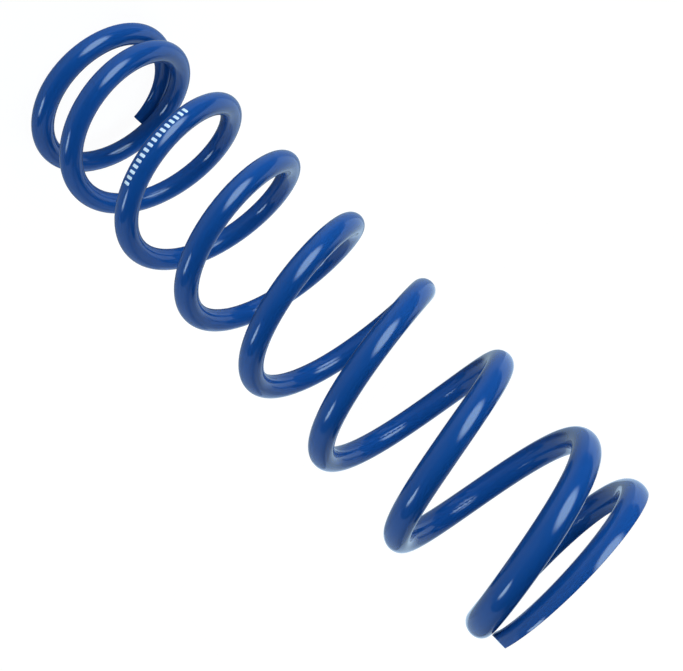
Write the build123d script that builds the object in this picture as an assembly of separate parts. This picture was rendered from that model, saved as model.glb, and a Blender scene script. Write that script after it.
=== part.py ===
from build123d import *

import os
from math import ceil, cos, pi, radians, sin

# Compression spring for a coilover damper, in millimetres and turns, +Z up.
# It stands on its lower ground face, with its axis on Z and that face at Z = 0.
# The ends are closed and ground: the first and last coil lie against their neighbours
# and are cut flat, so that the spring seats squarely on the damper's two collars.

# Driving sizes
wire_diameter = 12.6  # round wire, over its powder coat
body_bore = 81.0  # clear bore of the open coils
seat_bore = 77.4  # clear bore of the first and last coil, which centre on the seats
free_length = 355.6  # ground face to ground face, unloaded
total_turns = 8.68  # from tip to tip
tip_thickness = 4.6  # what the grinding leaves of the wire at each tip
tip_gap = 0.3  # between a tip and the coil that it lies against
tip_relief = 5.5  # dressed off the outer corner of each tip, so that it doesn't catch
tip_relief_length = 16.0  # how far back along the wire the dressing runs
first_tip_angle = 97.0  # degrees from +X, seen from above

# How far each end runs before the coils open, in turns from its own tip
lower_closed_turns = 0.73
lower_ramp_turns = 0.82
upper_closed_turns = 0.825
upper_ramp_turns = 0.285
seat_coil_turns = 0.85  # wound to the seat bore
opening_turns = 0.60  # widens from the seat bore to the body bore

# How closely the wire's centre line is laid out
points_per_turn = 16

wire_radius = wire_diameter / 2
body_radius = body_bore / 2 + wire_radius
seat_radius = seat_bore / 2 + wire_radius
contact_rise = wire_diameter + tip_gap
# Height of the wire's centre line at the lower tip: below 0, where over half is ground away
tip_height = tip_thickness - wire_radius


def clamp(value, low, high):
    return max(low, min(high, value))


def ramp_area(turn, start, length):
    """The area under a slope that rises from 0 to 1 over length, from start."""
    on_ramp = clamp(turn - start, 0, length)
    return on_ramp**2 / (2 * length) + max(0, turn - start - length)


def ease(share):
    """Goes from 0 to 1 with no kink at either end."""
    share = clamp(share, 0, 1)
    return share * share * (3 - 2 * share)


def pitches():
    """The lower, body and upper pitch that give the free length and closed ends.

    One turn in from each tip the wire has risen by its own diameter and the gap.
    """
    lower_share = ramp_area(1, lower_closed_turns, lower_ramp_turns)
    upper_share = ramp_area(1, upper_closed_turns, upper_ramp_turns)
    lower_turns = (lower_closed_turns + lower_ramp_turns / 2) / (1 - lower_share)
    upper_turns = (upper_closed_turns + upper_ramp_turns / 2) / (1 - upper_share)
    rise = free_length - 2 * tip_height
    body = rise - contact_rise * (lower_turns + upper_turns)
    body /= total_turns - lower_turns - upper_turns
    lower = (contact_rise - lower_share * body) / (1 - lower_share)
    upper = (contact_rise - upper_share * body) / (1 - upper_share)
    return lower, body, upper


lower_pitch, body_pitch, upper_pitch = pitches()


def height(turn):
    """Height of the wire's centre line, turn by turn from the lower tip."""
    upper_start = total_turns - upper_closed_turns - upper_ramp_turns
    lower_ramp = ramp_area(turn, lower_closed_turns, lower_ramp_turns)
    upper_ramp = ramp_area(turn, upper_start, upper_ramp_turns)
    climb = lower_pitch * turn
    climb += (body_pitch - lower_pitch) * lower_ramp
    climb -= (body_pitch - upper_pitch) * upper_ramp
    return climb + tip_height


def coil_radius(turn):
    """Mean coil radius: the end coils are a little smaller than the body."""
    from_tip = min(turn, total_turns - turn)
    widening = ease((from_tip - seat_coil_turns) / opening_turns)
    return seat_radius + (body_radius - seat_radius) * widening


def centre_point(turn):
    angle = radians(first_tip_angle) + 2 * pi * turn
    radius = coil_radius(turn)
    return Vector(radius * cos(angle), radius * sin(angle), height(turn))


def centre_line():
    """One smooth right-handed line from the lower tip to the upper tip."""
    steps = ceil(total_turns * points_per_turn)
    return Spline([centre_point(total_turns * step / steps) for step in range(steps + 1)])


def coiled_wire():
    """The round wire, wound but not yet ground, cut square at both tips."""
    line = centre_line()
    square_cut = Plane(origin=line @ 0, z_dir=line % 0)
    return sweep(square_cut * Circle(wire_radius), path=line, is_frenet=True)


def grind(spring):
    """Cuts both ends flat, square to the axis."""
    room = 3 * body_radius
    between_faces = Pos(0, 0, free_length / 2) * Box(room, room, free_length)
    return spring & between_faces


def polar(radius, angle):
    return radius * cos(angle), radius * sin(angle)


def relief_cutter(turn, way):
    """The corner that is dressed off a tip, from which the wire runs on by way, 1 or -1.

    It stands across the ground face, and stops half-way into the gap to the next coil.
    """
    outside = seat_radius + wire_radius
    clear_of_wire = outside + wire_radius
    tip = radians(first_tip_angle) + 2 * pi * turn
    past_tip = tip - way * tip_gap / outside
    back = tip + way * tip_relief_length / outside
    corners = [
        polar(outside, back),
        polar(outside - tip_relief, past_tip),
        polar(clear_of_wire, past_tip),
        polar(clear_of_wire, back),
    ]
    outline = make_face(Polyline(*corners, close=True))
    return extrude(outline, tip_thickness + tip_gap / 2, both=True)


def dress_tips(spring):
    lower = relief_cutter(0, 1)
    upper = Pos(0, 0, free_length) * relief_cutter(total_turns, -1)
    return spring - lower - upper


coil_spring = dress_tips(grind(coiled_wire()))

os.makedirs("parts", exist_ok=True)
export_step(coil_spring, "parts/coil_spring.step")

print("lower, body and upper pitch", [round(pitch, 2) for pitch in pitches()])
print("length of wire", round(centre_line().length), "volume", round(coil_spring.volume))
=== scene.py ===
# %% [markdown]
# # A coilover spring, dressed for its picture
# The object is one compression spring: one steel wire wound right-handed, ground flat at
# both ends and powder coated deep blue. The CAD frame already has its whole shape, so this
# lesson is about the coat, the ground faces under it, a row of printed ticks, and the
# studio that makes a round glossy wire readable.

# %% Load the frame
import math

import bpy
from mathutils import Matrix, Vector


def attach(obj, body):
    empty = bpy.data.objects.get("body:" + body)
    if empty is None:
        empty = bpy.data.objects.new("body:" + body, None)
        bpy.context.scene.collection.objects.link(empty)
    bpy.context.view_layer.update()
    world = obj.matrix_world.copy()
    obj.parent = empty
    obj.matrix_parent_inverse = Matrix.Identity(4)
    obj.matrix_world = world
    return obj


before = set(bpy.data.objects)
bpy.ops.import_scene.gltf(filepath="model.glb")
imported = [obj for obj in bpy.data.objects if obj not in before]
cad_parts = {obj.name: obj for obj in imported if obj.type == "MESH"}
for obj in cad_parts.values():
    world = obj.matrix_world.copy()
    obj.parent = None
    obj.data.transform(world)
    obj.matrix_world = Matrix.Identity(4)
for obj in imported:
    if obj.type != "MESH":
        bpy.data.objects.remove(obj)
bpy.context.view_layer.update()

MM = 0.001

# %% [markdown]
# ## Colours and nodes
# Paint makers and screens give colours as sRGB hex values, but shaders count light, so one
# function turns a hex value to linear. A second small function adds a node, sets its values
# and links its inputs, and every material below is built with it.

# %% One colour function and one node function
def linear(hex_code):
    """A colour such as 0F55A8 as the linear numbers that a shader socket takes."""
    parts = [int(hex_code[i : i + 2], 16) / 255 for i in (0, 2, 4)]
    parts = [c / 12.92 if c <= 0.04045 else ((c + 0.055) / 1.055) ** 2.4 for c in parts]
    return (*parts, 1.0)


def add_node(tree, kind, values=None, links=None, **settings):
    """A new node: settings are its properties, values its sockets, links what feeds them."""
    node = tree.nodes.new(kind)
    for name, value in settings.items():
        setattr(node, name, value)
    for socket, value in (values or {}).items():
        node.inputs[socket].default_value = value
    for socket, source in (links or {}).items():
        tree.links.new(source, node.inputs[socket])
    return node


def new_material(name):
    material = bpy.data.materials.new(name)
    material.use_nodes = True
    material.node_tree.nodes.clear()
    return material


print("a screen's middle grey is", round(linear("808080")[0], 3), "of white in light")

# %% [markdown]
# ## The coat: polyester powder coat on spring steel
# Powder is sprayed on dry and melts in an oven into one glossy skin about 0.1 mm thick. It
# could be a plain glossy plastic, but two things give it away: the melt never levels
# completely, so reflections ripple slightly (orange peel, waves of about 2 mm), and the
# colour is a little uneven where the skin is thick or thin. Both are slow noise here.
#
# The flat end faces were ground before they were coated. The wheel leaves fine arcs, which
# the powder fills nearly but not quite, so on those two faces alone a faint set of arcs is
# added. The real marks are 0.1 mm apart, which is too fine to show, so these are 0.6 mm.
# Powder also draws back from a sharp edge and rounds it, which a small bevel in the normal
# gives without new geometry.

# %% Marks of the grinding wheel
GRINDING_MM = 0.6  # from one arc to the next
WHEEL_OFFSET_MM = 160.0  # from the spring's axis to the grinding wheel's
FREE_LENGTH_MM = 355.6
FACE_DEPTH_MM = 0.02  # how near to the very end counts as the ground face


def ground_face(tree, place):
    """1 on the two flat end faces, 0 on the round wire."""
    middle = FREE_LENGTH_MM / 2 * MM
    height = add_node(tree, "ShaderNodeSeparateXYZ", links={0: place})
    from_middle = add_node(
        tree, "ShaderNodeMath", {1: middle}, {0: height.outputs["Z"]}, operation="SUBTRACT"
    )
    away = add_node(
        tree, "ShaderNodeMath", links={0: from_middle.outputs[0]}, operation="ABSOLUTE"
    )
    at_end = add_node(
        tree,
        "ShaderNodeMath",
        {1: middle - FACE_DEPTH_MM * MM},
        {0: away.outputs[0]},
        operation="GREATER_THAN",
    )
    return at_end.outputs[0]


def grinding_arcs(tree, place):
    """Fine rings about the grinding wheel's axis, kept to the ground faces."""
    from_wheel = add_node(
        tree,
        "ShaderNodeVectorMath",
        {1: (WHEEL_OFFSET_MM * MM, 0, 0)},
        {0: place},
        operation="ADD",
    )
    wave_scale = math.pi / (10 * GRINDING_MM * MM)  # a wave repeats every pi / (10 * scale)
    arcs = add_node(
        tree,
        "ShaderNodeTexWave",
        {"Scale": wave_scale, "Distortion": 1.5, "Detail": 2.0, "Detail Scale": 0.2},
        {"Vector": from_wheel.outputs["Vector"]},
        wave_type="RINGS",
        rings_direction="Z",
    )
    kept = add_node(
        tree,
        "ShaderNodeMath",
        links={0: arcs.outputs["Fac"], 1: ground_face(tree, place)},
        operation="MULTIPLY",
    )
    return kept.outputs[0]


print("grinding arcs on both faces, every", GRINDING_MM, "mm")

# %% Powder coat
COAT_BLUE = "174E92"
COAT_DEEP = "144789"  # where the skin is thick
CLOUD_MM = 40.0
ORANGE_PEEL_MM = 2.2
ROUNDED_EDGE_MM = 0.35
RIPPLE = {"Strength": 0.05, "Distance": 0.02 * MM}
MARKS = {"Strength": 0.12, "Distance": 0.03 * MM}


def powder_coat():
    material = new_material("polyester_powder_coat_blue")
    tree = material.node_tree
    place = add_node(tree, "ShaderNodeTexCoord").outputs["Object"]
    cloud = add_node(
        tree, "ShaderNodeTexNoise", {"Scale": 1 / (CLOUD_MM * MM), "Detail": 2.0}, {"Vector": place}
    )
    colour = add_node(
        tree,
        "ShaderNodeMix",
        {"A": linear(COAT_BLUE), "B": linear(COAT_DEEP)},
        {"Factor": cloud.outputs["Fac"]},
        data_type="RGBA",
    )
    peel = add_node(
        tree,
        "ShaderNodeTexNoise",
        {"Scale": 1 / (ORANGE_PEEL_MM * MM), "Detail": 1.0},
        {"Vector": place},
    )
    edge = add_node(tree, "ShaderNodeBevel", {"Radius": ROUNDED_EDGE_MM * MM}, samples=4)
    ripple = add_node(
        tree,
        "ShaderNodeBump",
        RIPPLE,
        {"Height": peel.outputs["Fac"], "Normal": edge.outputs["Normal"]},
    )
    marks = add_node(
        tree,
        "ShaderNodeBump",
        MARKS,
        {"Height": grinding_arcs(tree, place), "Normal": ripple.outputs["Normal"]},
    )
    skin = add_node(
        tree,
        "ShaderNodeBsdfPrincipled",
        {"Roughness": 0.035, "IOR": 1.5},
        {"Base Color": colour.outputs["Result"], "Normal": marks.outputs["Normal"]},
    )
    add_node(tree, "ShaderNodeOutputMaterial", links={"Surface": skin.outputs["BSDF"]})
    return material


coat = powder_coat()
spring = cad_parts["coil_spring"]
spring.data.materials.clear()
spring.data.materials.append(coat)
print("coated", spring.name, "with", coat.name, len(spring.data.polygons), "faces")

# %% [markdown]
# ## A row of printed ticks
# One coil carries a row of even white ticks along its outside, printed there so that the
# spring is easy to tell from its neighbours on a shelf. They could be painted in the coat's
# material, but ink lies on top of the coat and has its own gloss, so it is a thin film of
# its own. Each tick is a grid that is bent round the wire and along the coil, with rounded
# corners, and the film is given its thickness by Solidify.

# %% Where the printed coil runs
WIRE_RADIUS_MM = 6.3
COIL_RADIUS_MM = 46.8
PITCH_MM = 51.113
PRINTED_COIL_Z_MM = 41.163  # height of the wire's middle where the printed coil passes +X
INK_MM = 0.05  # how far the ink stands above the coat, facets included
RISE = PITCH_MM / (2 * math.pi * COIL_RADIUS_MM)  # of the wire, for each mm that it goes round


def on_wire(turn, round_wire):
    """A point on the ink's face: turn counts coils from +X, round_wire is 0 at the outside."""
    angle = 2 * math.pi * turn
    outward = Vector((math.cos(angle), math.sin(angle), 0))
    middle = outward * COIL_RADIUS_MM
    middle.z = PRINTED_COIL_Z_MM + PITCH_MM * turn
    along = Vector((-outward.y, outward.x, RISE)).normalized()
    across = outward.cross(along)
    face = outward * math.cos(round_wire) + across * math.sin(round_wire)
    return (middle + face * (WIRE_RADIUS_MM + INK_MM)) * MM


print("the wire climbs at", round(math.degrees(math.atan(RISE)), 1), "degrees")

# %% White ticks
TICKS = 16
FIRST_TURN, LAST_TURN = 0.672, 0.820
TICK_WIDE_MM = 1.5
TICK_TALL_MM = 3.4
TICK_DROP_MM = 0.3  # the row's middle lies this far below the outermost line of the wire
CORNER_MM = 0.3
INK_THICK_MM = 0.10  # half of it lies in the coat
ROWS, COLUMNS = 14, 4


def tick_half_width(height):
    """Half the width of a tick at a height from its middle, less where its corners round."""
    into_corner = max(0, abs(height) - (TICK_TALL_MM / 2 - CORNER_MM))
    return TICK_WIDE_MM / 2 - CORNER_MM + math.sqrt(max(0, CORNER_MM**2 - into_corner**2))


def ticks_mesh():
    points, faces = [], []
    turn_mm = 2 * math.pi * math.hypot(COIL_RADIUS_MM, PITCH_MM / (2 * math.pi))
    for tick in range(TICKS):
        turn = FIRST_TURN + (LAST_TURN - FIRST_TURN) * tick / (TICKS - 1)
        first = len(points)
        for row in range(ROWS + 1):
            height = TICK_TALL_MM * (row / ROWS - 0.5)
            round_wire = (height - TICK_DROP_MM) / WIRE_RADIUS_MM
            for column in range(COLUMNS + 1):
                side = tick_half_width(height) * (2 * column / COLUMNS - 1)
                points.append(on_wire(turn + side / turn_mm, round_wire))
        for row in range(ROWS):
            for column in range(COLUMNS):
                corner = first + row * (COLUMNS + 1) + column
                above = corner + COLUMNS + 1
                faces.append((corner, corner + 1, above + 1, above))
    mesh = bpy.data.meshes.new("white_ticks")
    mesh.from_pydata(points, [], faces)
    mesh.shade_smooth()
    return mesh


ticks = bpy.data.objects.new("white_ticks", ticks_mesh())
bpy.context.scene.collection.objects.link(ticks)
film = ticks.modifiers.new("ink_film", "SOLIDIFY")
film.thickness = INK_THICK_MM * MM
film.offset = -1
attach(ticks, "root")
print("ticks", TICKS, "faces", len(ticks.data.polygons))

# %% [markdown]
# ## The ink
# Pad-printing ink dries to a satin film that isn't quite opaque: a little blue comes through
# where it is thin. The film could be one flat white, but then it looks like a sticker, so a
# slow noise mixes two whites, and the gloss is lower than the coat's.

# %% White printing ink
INK_WHITE = "FBFCFD"
INK_THIN = "E6EDF4"
INK_PATCH_MM = 0.9


def white_ink():
    material = new_material("white_pad_printing_ink")
    tree = material.node_tree
    place = add_node(tree, "ShaderNodeTexCoord").outputs["Object"]
    cover = add_node(
        tree,
        "ShaderNodeTexNoise",
        {"Scale": 1 / (INK_PATCH_MM * MM), "Detail": 2.0},
        {"Vector": place},
    )
    colour = add_node(
        tree,
        "ShaderNodeMix",
        {"A": linear(INK_WHITE), "B": linear(INK_THIN)},
        {"Factor": cover.outputs["Fac"]},
        data_type="RGBA",
    )
    dried = add_node(
        tree,
        "ShaderNodeBsdfPrincipled",
        {"Roughness": 0.38, "IOR": 1.48},
        {"Base Color": colour.outputs["Result"]},
    )
    add_node(tree, "ShaderNodeOutputMaterial", links={"Surface": dried.outputs["BSDF"]})
    return material


ink = white_ink()
ticks.data.materials.append(ink)
print("printed", ticks.name, "with", ink.name)

# %% [markdown]
# ## The studio
# The wire is a curved mirror, so the picture shows the room more than the paint. The room is
# a white table in front of white card that stands round the back and sides. It is dark in
# front and above, with one large softbox at the left and a small one at the right. It could
# be an evenly lit white box, but then the coat would look pale and flat.
#
# The camera sees table, card and room as plain white. All other rays, those in the gloss
# among them, meet them at the plainer level and the cool tint that a lit white card has, so
# that the coat isn't washed out.

# %% How bright a ray finds a thing
STUDIO_TINT = "CBE7FF"


def ray_strength(tree, camera, gloss, other):
    """A strength that depends on the kind of ray: each level is a number or a socket."""
    path = add_node(tree, "ShaderNodeLightPath")
    shiny = add_node(
        tree,
        "ShaderNodeMath",
        links={0: path.outputs["Is Glossy Ray"], 1: path.outputs["Is Transmission Ray"]},
        operation="MAXIMUM",
    )
    level = other
    for test, chosen in ((shiny.outputs[0], gloss), (path.outputs["Is Camera Ray"], camera)):
        values, links = {}, {"Factor": test}
        for socket, source in (("A", level), ("B", chosen)):
            group = values if isinstance(source, (int, float)) else links
            group[socket] = source
        level = add_node(tree, "ShaderNodeMix", values, links, data_type="FLOAT").outputs["Result"]
    return level


def white_to_camera(tree):
    """The tint of the studio's light, which is plain white for the camera alone."""
    path = add_node(tree, "ShaderNodeLightPath")
    tint = add_node(
        tree,
        "ShaderNodeMix",
        {"A": linear(STUDIO_TINT), "B": linear("FFFFFF")},
        {"Factor": path.outputs["Is Camera Ray"]},
        data_type="RGBA",
    )
    return tint.outputs["Result"]


print("the studio's tint in linear light", [round(v, 2) for v in linear(STUDIO_TINT)[:3]])

# %% White card that glows
def glowing_card(name, fill, strength_of, *levels):
    """White card with its own glow, so that no lamp has to be turned up for it."""
    material = new_material(name)
    tree = material.node_tree
    glow = add_node(
        tree,
        "ShaderNodeEmission",
        links={"Color": white_to_camera(tree), "Strength": strength_of(tree, *levels)},
    )
    paper = add_node(tree, "ShaderNodeBsdfDiffuse", {"Color": (fill, fill, fill, 1)})
    both = add_node(tree, "ShaderNodeAddShader", links={0: glow.outputs[0], 1: paper.outputs[0]})
    add_node(tree, "ShaderNodeOutputMaterial", links={"Surface": both.outputs[0]})
    return material


def stand(name, corners, material):
    """A flat sheet of the studio, which isn't part of the object."""
    mesh = bpy.data.meshes.new(name)
    mesh.from_pydata([Vector(corner) for corner in corners], [], [tuple(range(len(corners)))])
    mesh.materials.append(material)
    piece = bpy.data.objects.new(name, mesh)
    bpy.context.scene.collection.objects.link(piece)
    print(name, "in", material.name)


print("white card glows in", STUDIO_TINT, "and in plain white for the camera")

# %% [markdown]
# ## The table
# What the coat reflects reads as a table top whose back half is covered with white card.
# The table glows in the gloss, and that glow holds painted light: a painted pool of light
# makes it brighter near the spring than far off, and painted shadow makes it dark right round
# the spring's base and in the spring's own shade. The card starts behind the spring and
# further back on the left. A floor of one brightness would be simpler, but its reflection
# would fill the lower half of the wire with one flat tone. So each level below eases from one
# number to another while a distance on the table, in metres, goes from near to far.

# %% How bright the table is in the gloss
SPAN = ("From Min", "From Max", "To Min", "To Max")  # the sockets that a level is given by
EASED = {"interpolation_type": "SMOOTHSTEP"}
TABLE_LEVELS = {  # what it follows, from where, to where, and its level at both
    "seen": ("distance", 0.10, 0.30, 0.96, 1.0),  # the camera's white
    # the levels right round the spring's base and in its shade are painted shadow, and front,
    # far_front and far make a painted pool of light near the spring
    "foot_shade": ("distance", 0.02, 0.07, 0.3, 1.0),
    "front": ("across", -0.25, 0.15, 0.70, 0.52),
    "far_front": ("across", -0.2, 0.3, 0.10, 0.30),
    "far": ("distance", 0.12, 0.6, 0.0, 1.0),
    "card": ("across", -0.3, 0.3, 0.53, 0.52),
    "shade": ("shade", 0.06, 0.19, 0.08, 1.0),
    "edge": ("across", -0.9, -0.15, 0.2, 0.0),  # how far back the card starts
}
CARD_EDGE = (-0.01, 0.09, 0.0, 1.0)  # from table to card, front to back
# the middle of the painted shade, which lies behind the spring
SHADE_MIDDLE = (0.03, 0.11, 0)
SHADE_SQUEEZE = (1, 0.4, 1)  # the shade is long and narrow, and so is measured squeezed
print("levels on the table:", ", ".join(TABLE_LEVELS))

# %% Table in front, card behind
TABLE_SPILL = 0.02  # what the paint gets of the table's glow


def table_strength(tree):
    """What the gloss meets on the floor: plain table in front of the spring, card behind.

    A painted pool of light brightens it near the spring, and painted shadow darkens it
    right round the spring's base and in its shade.
    """
    place = add_node(tree, "ShaderNodeTexCoord").outputs["Object"]
    on_table = add_node(tree, "ShaderNodeSeparateXYZ", links={0: place})
    distance = add_node(tree, "ShaderNodeVectorMath", links={0: place}, operation="LENGTH")
    squeezed = add_node(
        tree, "ShaderNodeVectorMath", {1: SHADE_SQUEEZE}, {0: place}, operation="MULTIPLY"
    )
    from_shade = add_node(
        tree,
        "ShaderNodeVectorMath",
        {1: SHADE_MIDDLE},
        {0: squeezed.outputs["Vector"]},
        operation="DISTANCE",
    )
    follows = {
        "across": on_table.outputs["X"],
        "distance": distance.outputs["Value"],
        "shade": from_shade.outputs["Value"],
    }
    level = {}
    for name, (followed, *span) in TABLE_LEVELS.items():
        values, links = dict(zip(SPAN, span)), {"Value": follows[followed]}
        eased = add_node(tree, "ShaderNodeMapRange", values, links, **EASED)
        level[name] = eased.outputs["Result"]

    # painted shadow right round the spring's base, laid on the painted pool of light in front of it
    near = add_node(
        tree, "ShaderNodeMath", links={0: level["foot_shade"], 1: level["front"]}, operation="MULTIPLY"
    )
    in_front = add_node(
        tree,
        "ShaderNodeMix",
        links={"Factor": level["far"], "A": near.outputs[0], "B": level["far_front"]},
        data_type="FLOAT",
    )
    # painted shadow: the card is darker in the spring's shade
    behind = add_node(
        tree, "ShaderNodeMath", links={0: level["card"], 1: level["shade"]}, operation="MULTIPLY"
    )
    from_edge = add_node(
        tree,
        "ShaderNodeMath",
        links={0: on_table.outputs["Y"], 1: level["edge"]},
        operation="SUBTRACT",
    )
    card_edge = add_node(
        tree,
        "ShaderNodeMapRange",
        dict(zip(SPAN, CARD_EDGE)),
        {"Value": from_edge.outputs[0]},
        **EASED,
    )
    lit = add_node(
        tree,
        "ShaderNodeMix",
        links={
            "Factor": card_edge.outputs["Result"],
            "A": in_front.outputs["Result"],
            "B": behind.outputs[0],
        },
        data_type="FLOAT",
    )
    return ray_strength(tree, level["seen"], lit.outputs["Result"], TABLE_SPILL)


print("the table lights the paint at a level of", TABLE_SPILL)

# %% Floor
TABLE_FILL = 0.08  # how much lamp light the table gives back
FLOOR = 3.0  # from the spring's axis to the floor's sides

table_corners = [(-FLOOR, -FLOOR, 0), (FLOOR, -FLOOR, 0), (FLOOR, FLOOR, 0), (-FLOOR, FLOOR, 0)]
stand("floor", table_corners, glowing_card("white_table", TABLE_FILL, table_strength))

# %% [markdown]
# ## The cards
# Three upright white cards stand at the left, at the right and at the back, and each is
# darker towards its top. They could be lit by lamps, but those would light the paint as
# well, so each card glows by itself, and how strongly depends on the height above the table.

# %% Upright cards
CARD_REACH = 0.85  # to the left and right of the spring's axis
CARD_BACK = 1.9
CARD_TALL = 1.4
LEFT_START, RIGHT_START = 0.22, -0.05  # where the side cards start, front to back
CARD_SPILL = 0.05  # what the paint gets of a card's glow
CARDS = {  # its two ends, how much lamp light it gives back, two heights, its level at both
    "left": ((-CARD_REACH, LEFT_START), (-CARD_REACH, CARD_BACK), 0.1, (0.85, 1.35, 1.06, 0.08)),
    "right": ((CARD_REACH, RIGHT_START), (CARD_REACH, CARD_BACK), 0.05, (0.4, 1.4, 0.68, 0.3)),
    "back": ((-CARD_REACH, CARD_BACK), (CARD_REACH, CARD_BACK), 0.1, (0.7, 1.4, 1.05, 0.78)),
}


def card_strength(tree, *span):
    """What the gloss meets in a card: its level eases with the height above the table."""
    place = add_node(tree, "ShaderNodeTexCoord").outputs["Object"]
    height = add_node(tree, "ShaderNodeSeparateXYZ", links={0: place})
    values, links = dict(zip(SPAN, span)), {"Value": height.outputs["Z"]}
    lit = add_node(tree, "ShaderNodeMapRange", values, links, **EASED)
    return ray_strength(tree, 1.0, lit.outputs["Result"], CARD_SPILL)


for side, (start, end, fill, span) in CARDS.items():
    corners = [(*start, 0), (*end, 0), (*end, CARD_TALL), (*start, CARD_TALL)]
    paper = glowing_card("white_card_" + side, fill, card_strength, *span)
    stand(side + "_card", corners, paper)

# %% [markdown]
# ## The dark room
# Beyond the cards the room is almost dark in front, and behind the spring its pale wall
# shows above the cards. An image of a room could give this, but two levels that ease with
# the direction of view are enough, and are the same in every render.

# %% The dark room
ROOM_LEVELS = {  # what it follows, from where, to where, and its level at both
    "front": ("Z", 0.3, 0.7, 0.10, 0.0),
    "wall": ("Z", 0.70, 1.06, 0.62, 0.05),
    "behind": ("Y", 0.12, 0.5, 0.0, 1.0),
}
ROOM_SPILL = 0.03  # what the paint gets of the room

world = bpy.data.worlds.new("room")
bpy.context.scene.world = world
world.use_nodes = True
sky = world.node_tree
sky.nodes.clear()
direction = add_node(sky, "ShaderNodeTexCoord").outputs["Generated"]
looking = add_node(sky, "ShaderNodeSeparateXYZ", links={0: direction})
room_level = {}
for name, (followed, *span) in ROOM_LEVELS.items():
    values, links = dict(zip(SPAN, span)), {"Value": looking.outputs[followed]}
    eased = add_node(sky, "ShaderNodeMapRange", values, links, **EASED)
    room_level[name] = eased.outputs["Result"]
haze = add_node(
    sky,
    "ShaderNodeMix",
    links={"Factor": room_level["behind"], "A": room_level["front"], "B": room_level["wall"]},
    data_type="FLOAT",
)
room_strength = ray_strength(sky, 1.0, haze.outputs["Result"], ROOM_SPILL)
room = add_node(
    sky,
    "ShaderNodeBackground",
    links={"Color": white_to_camera(sky), "Strength": room_strength},
)
add_node(sky, "ShaderNodeOutputWorld", links={"Surface": room.outputs[0]})
print("room made of", len(sky.nodes), "nodes")

# %% [markdown]
# ## The lamps
# In the coat two softboxes show as blobs with a hot middle and soft edges, as a round
# diffuser with one lamp behind it does. So each is a round area light whose own nodes fade
# its strength from the middle to the rim.
#
# The light that brings out the blue itself is much more even: it comes low from the front
# left, from the front, from both sides and from high up behind. Those lamps light the paint
# and stay out of the gloss, and the two softboxes do the reverse, so that the highlights and
# the shading can be set one at a time.

# %% One lamp
LAMP_WHITE = "CFEDFF"
LAMPS_FACE = Vector((0, -0.045, 0.18))  # the point that every lamp faces


def softbox(name, azimuth, elevation, distance, width, height, radiance, core, mirrored=False):
    """A soft light that faces the spring. Azimuth 0 is the camera's side, 90 is +X.

    It is even out to core, as a share of its radius, and lights either the gloss, where it
    is mirrored, or the paint under it.
    """
    a, e = math.radians(azimuth), math.radians(elevation)
    way = Vector((math.sin(a) * math.cos(e), -math.cos(a) * math.cos(e), math.sin(e)))
    area = math.pi * width * height / 4
    light = bpy.data.lights.new(name, "AREA")
    light.shape = "ELLIPSE"
    light.size, light.size_y = width, height
    light.energy = radiance * math.pi * area
    light.color = linear(LAMP_WHITE)[:3]
    light.use_nodes = True
    tree = light.node_tree
    tree.nodes.clear()
    place = add_node(tree, "ShaderNodeNewGeometry").outputs["Parametric"]
    from_middle = add_node(
        tree, "ShaderNodeVectorMath", {1: (0.5, 0.5, 0)}, {0: place}, operation="SUBTRACT"
    )
    flat = add_node(
        tree,
        "ShaderNodeVectorMath",
        {1: (2, 2, 0)},
        {0: from_middle.outputs["Vector"]},
        operation="MULTIPLY",
    )
    to_rim = add_node(
        tree, "ShaderNodeVectorMath", links={0: flat.outputs["Vector"]}, operation="LENGTH"
    )
    fading = add_node(
        tree,
        "ShaderNodeMapRange",
        dict(zip(SPAN, (core, 1.0, 1.0, 0.0))),
        {"Value": to_rim.outputs["Value"]},
        **EASED,
    )
    glow = add_node(tree, "ShaderNodeEmission", links={"Strength": fading.outputs["Result"]})
    add_node(tree, "ShaderNodeOutputLight", links={"Surface": glow.outputs[0]})
    lamp = bpy.data.objects.new(name, light)
    bpy.context.scene.collection.objects.link(lamp)
    lamp.location = LAMPS_FACE + way * distance
    lamp.rotation_mode = "QUATERNION"
    lamp.rotation_quaternion = way.to_track_quat("Z", "Y")
    lamp.visible_camera = False
    lamp.visible_glossy = mirrored
    lamp.visible_diffuse = not mirrored
    print(name, "at", [round(v, 2) for v in lamp.location], "watts", round(light.energy, 2))


print("the lamps face", [round(v, 3) for v in LAMPS_FACE])

# %% Two softboxes and five fills
# Azimuth and elevation in degrees, then distance, width and height in metres.
softbox("large_softbox", -41.5, 20, 0.95, 0.96, 1.26, radiance=6.9, core=0.45, mirrored=True)
softbox("small_softbox", 62.5, -2, 2.0, 1.15, 1.25, radiance=8.0, core=0.38, mirrored=True)
softbox("low_fill", -44, -5, 1.0, 1.0, 0.45, radiance=14.5, core=0.3)
softbox("front_fill", 0, 0, 1.0, 1.0, 1.0, radiance=6.2, core=0.3)
softbox("left_fill", -92, 8, 0.75, 0.8, 0.8, radiance=4.9, core=0.3)
softbox("right_fill", 92, 10, 0.75, 0.8, 0.8, radiance=4.9, core=0.3)
softbox("back_fill", 180, 40, 1.2, 1.2, 1.2, radiance=5.8, core=0.3)

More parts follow.
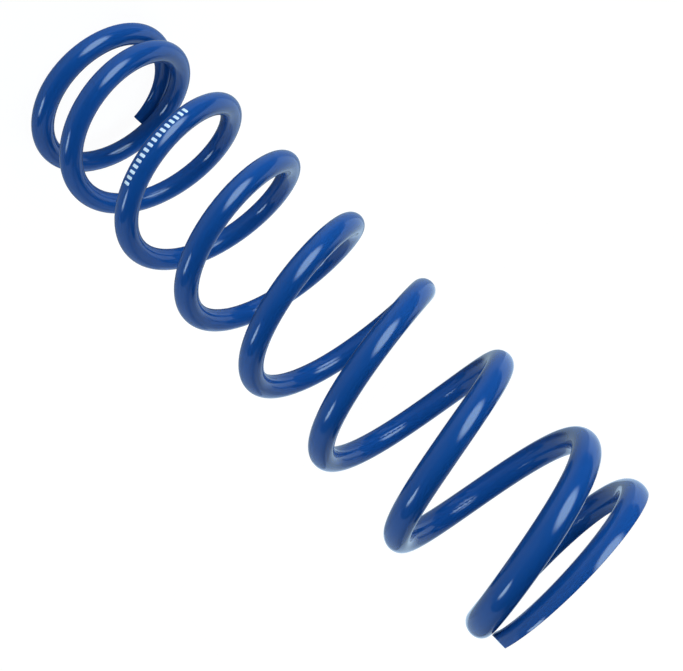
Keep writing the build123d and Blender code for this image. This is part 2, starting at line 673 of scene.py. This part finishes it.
# %% [markdown]
# ## The camera
# The spring stands upright in its frame, but the photograph shows it lying across the
# picture, so the camera is rolled. A camera could be placed by eye, but the coils are close
# to it and their perspective is strong, so its place, aim and lens were worked out from the
# outline of the coils. Pixels are counted from the picture's top left corner.

# %% Camera
PICTURE_PX = (683, 671)
LENS_AXIS_PX = (281.305, 244.865)  # where the lens points in the picture
FOCAL_PX = 790.482
SENSOR_MM = 36
CAMERA_AT = (0.0, -0.40298, 0.29260)
AIM_MM = Vector((0, 0, 190)) - Vector((0, -465, 407))  # first aim, at the spring's middle
ROLL = (-0.70, 0.714)  # how much of the picture's right is the room's right, and its up
FINE_TURN = Vector((0.04528565, -0.08616882, 0.02119320))  # from that aim, in radians

forward = AIM_MM.normalized()
right = forward.cross(Vector((0, 0, 1))).normalized()
up = right.cross(forward)
image_right = (ROLL[0] * right + ROLL[1] * up).normalized()
image_down = forward.cross(image_right)
fine_turn = Matrix.Rotation(FINE_TURN.length, 3, FINE_TURN.normalized())
rows = fine_turn @ Matrix((image_right, image_down, forward))
axes = Matrix((rows[0], -rows[1], -rows[2])).transposed()

lens = bpy.data.cameras.new("camera")
lens.sensor_fit = "HORIZONTAL"
lens.sensor_width = SENSOR_MM
lens.lens = FOCAL_PX / PICTURE_PX[0] * SENSOR_MM
lens.shift_x = (PICTURE_PX[0] / 2 - LENS_AXIS_PX[0]) / PICTURE_PX[0]
lens.shift_y = -(PICTURE_PX[1] / 2 - LENS_AXIS_PX[1]) / PICTURE_PX[0]
lens.clip_start, lens.clip_end = 0.01, 20
camera = bpy.data.objects.new("camera", lens)
camera.matrix_world = Matrix.Translation(CAMERA_AT) @ axes.to_4x4()
bpy.context.scene.collection.objects.link(camera)
bpy.context.scene.camera = camera
print("camera of", round(lens.lens, 1), "mm at", CAMERA_AT)

# %% [markdown]
# ## Colours as they are written
# The Standard view shows a hex colour as it was written, which a film-like view would not.

# %% View settings
bpy.context.scene.view_settings.view_transform = "Standard"
print("view", bpy.context.scene.view_settings.view_transform)
